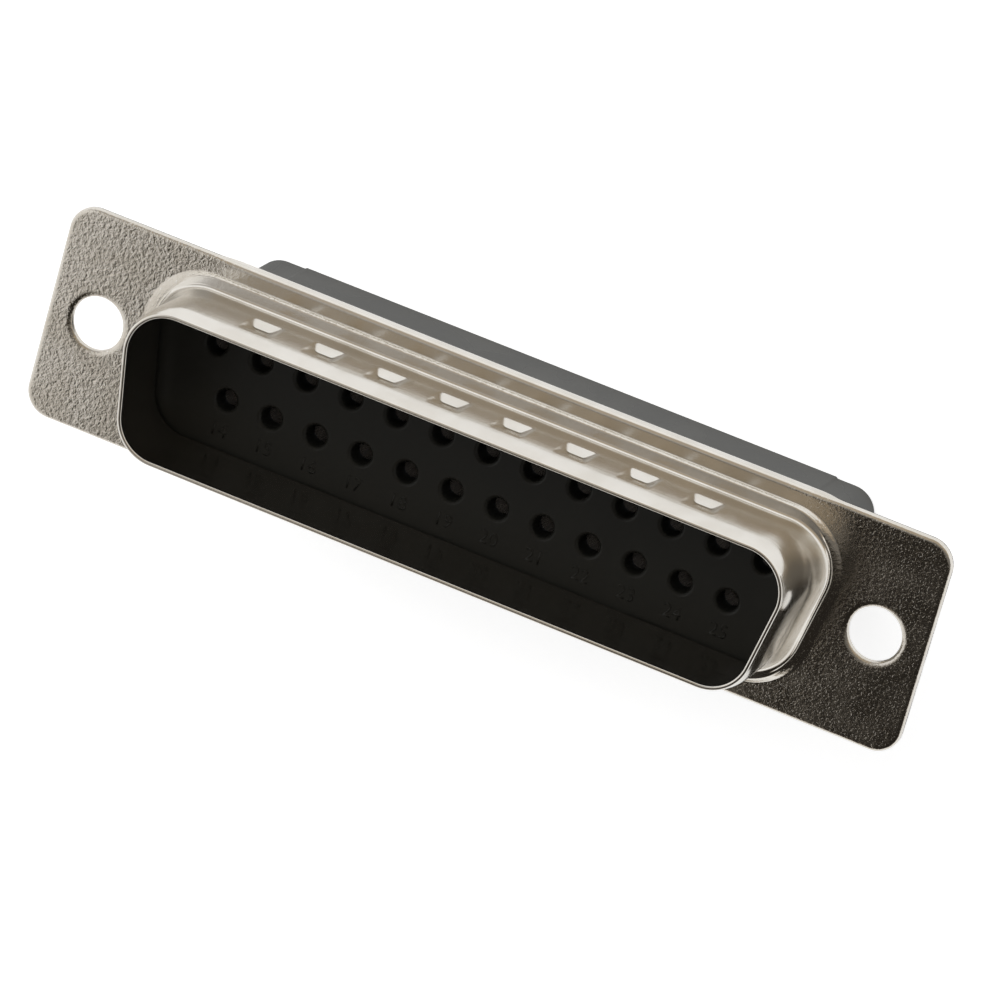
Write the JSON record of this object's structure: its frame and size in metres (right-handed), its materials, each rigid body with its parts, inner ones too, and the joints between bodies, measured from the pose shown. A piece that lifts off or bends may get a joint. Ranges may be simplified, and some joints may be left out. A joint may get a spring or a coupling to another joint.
{
  "type": "d-sub connector",
  "caption": "D-shaped plug housing for crimped contacts: plated steel flange and skirt with contact dimples, black insert, deep rear block.",
  "frame": {"origin": "middle of the two mounting holes, on the front face of the flange", "axes": "+X along the flange, +Y towards the wide side with the longer contact row, +Z out of the mating side"},
  "size_m": [0.053, 0.0126, 0.017],
  "materials": {
    "plated_steel": "bright tin plate with fine orange peel",
    "insert_plastic": "moulded, fine matt",
    "housing_plastic": "moulded, fine matt",
    "clip_metal": "bright spring bronze"
  },
  "bodies": {
    "root": {"front_shell": "plated_steel", "front_insert": "insert_plastic", "rear_housing": "housing_plastic", "retention_clip_01": "clip_metal", "retention_clip_02": "clip_metal", "retention_clip_03": "clip_metal", "retention_clip_04": "clip_metal", "retention_clip_05": "clip_metal", "retention_clip_06": "clip_metal", "retention_clip_07": "clip_metal", "retention_clip_08": "clip_metal", "retention_clip_09": "clip_metal", "retention_clip_10": "clip_metal", "retention_clip_11": "clip_metal", "retention_clip_12": "clip_metal", "retention_clip_13": "clip_metal", "retention_clip_14": "clip_metal", "retention_clip_15": "clip_metal", "retention_clip_16": "clip_metal", "retention_clip_17": "clip_metal", "retention_clip_18": "clip_metal", "retention_clip_19": "clip_metal", "retention_clip_20": "clip_metal", "retention_clip_21": "clip_metal", "retention_clip_22": "clip_metal", "retention_clip_23": "clip_metal", "retention_clip_24": "clip_metal", "retention_clip_25": "clip_metal"}
  },
  "joints": []
}
